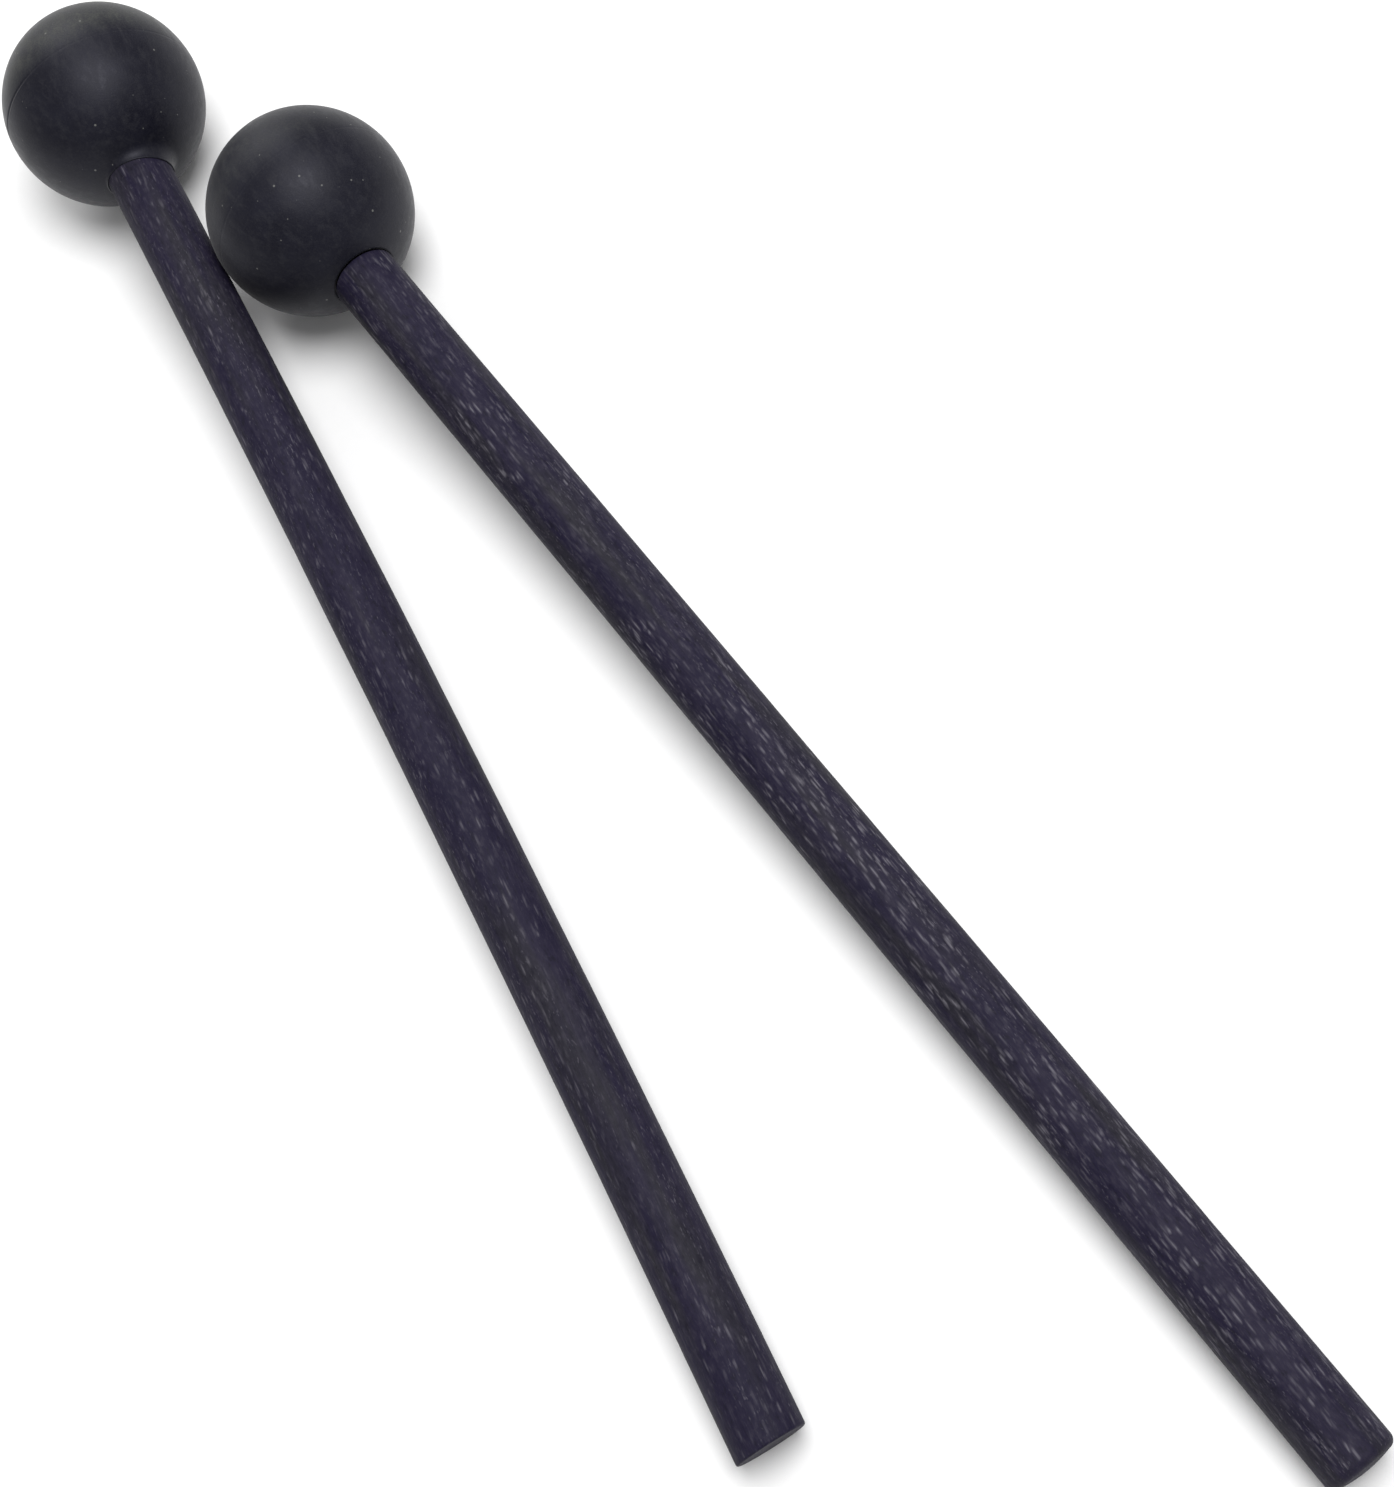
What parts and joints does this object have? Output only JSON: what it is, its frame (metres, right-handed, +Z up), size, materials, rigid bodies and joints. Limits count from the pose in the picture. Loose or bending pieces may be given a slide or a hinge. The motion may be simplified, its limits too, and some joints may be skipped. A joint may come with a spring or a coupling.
{
  "type": "percussion mallets",
  "caption": "Percussion mallets: matt black rubber ball heads on straight black-stained wooden dowels, lying side by side in a narrow V.",
  "frame": {"origin": "on the table, under the middle of the box that holds both mallets", "axes": "+Z up from the table, +Y towards the ball heads along the bisector of the V, +X towards the right mallet"},
  "size_m": [0.0542, 0.2278, 0.025],
  "materials": {
    "head_rubber": "matt moulded black rubber, lightly dusty",
    "stick_wood": "open-grained dowel stained blue-black, unvarnished",
    "glue": "cured black-brown contact adhesive"
  },
  "bodies": {
    "left_mallet": {"left_head": "head_rubber", "left_glue": "glue", "left_stick": "stick_wood"},
    "right_mallet": {"right_head": "head_rubber", "right_glue": "glue", "right_stick": "stick_wood"}
  },
  "joints": [
    {"name": "right_mallet_lift", "type": "slide", "parent": "left_mallet", "child": "right_mallet", "axis": [0, 0, 1], "range_m": [0, 0.05]}
  ]
}
